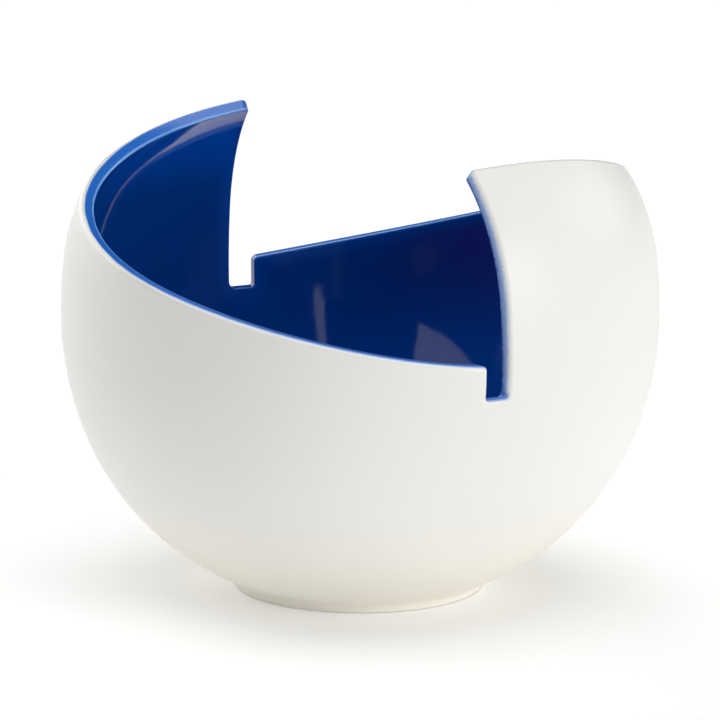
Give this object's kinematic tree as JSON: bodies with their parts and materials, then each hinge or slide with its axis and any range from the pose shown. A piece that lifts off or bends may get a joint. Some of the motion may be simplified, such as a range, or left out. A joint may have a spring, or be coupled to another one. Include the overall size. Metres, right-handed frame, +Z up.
{
  "type": "yarn bowl",
  "caption": "Round ceramic yarn bowl on a low foot, with a spiral rim rising to pointed wings and an open yarn slot beside each wing.",
  "frame": {"origin": "centre of the face that the foot ring rests on", "axes": "+Z up along the bowl's axis; -Y faces the front, where the nearer yarn slot is right of the middle; +X to the right seen from the front"},
  "size_m": [0.155, 0.155, 0.1202],
  "materials": {
    "clay": "matte, bare fired clay",
    "blue_glaze": "high gloss cobalt blue",
    "rim_blue": "gloss, lighter blue where it breaks over the edge",
    "white_glaze": "satin off-white"
  },
  "bodies": {
    "root": {"bowl_body": "clay", "inner_glaze": "blue_glaze", "rim_glaze": "rim_blue", "outer_glaze": "white_glaze", "underside_glaze": "white_glaze"}
  },
  "joints": []
}
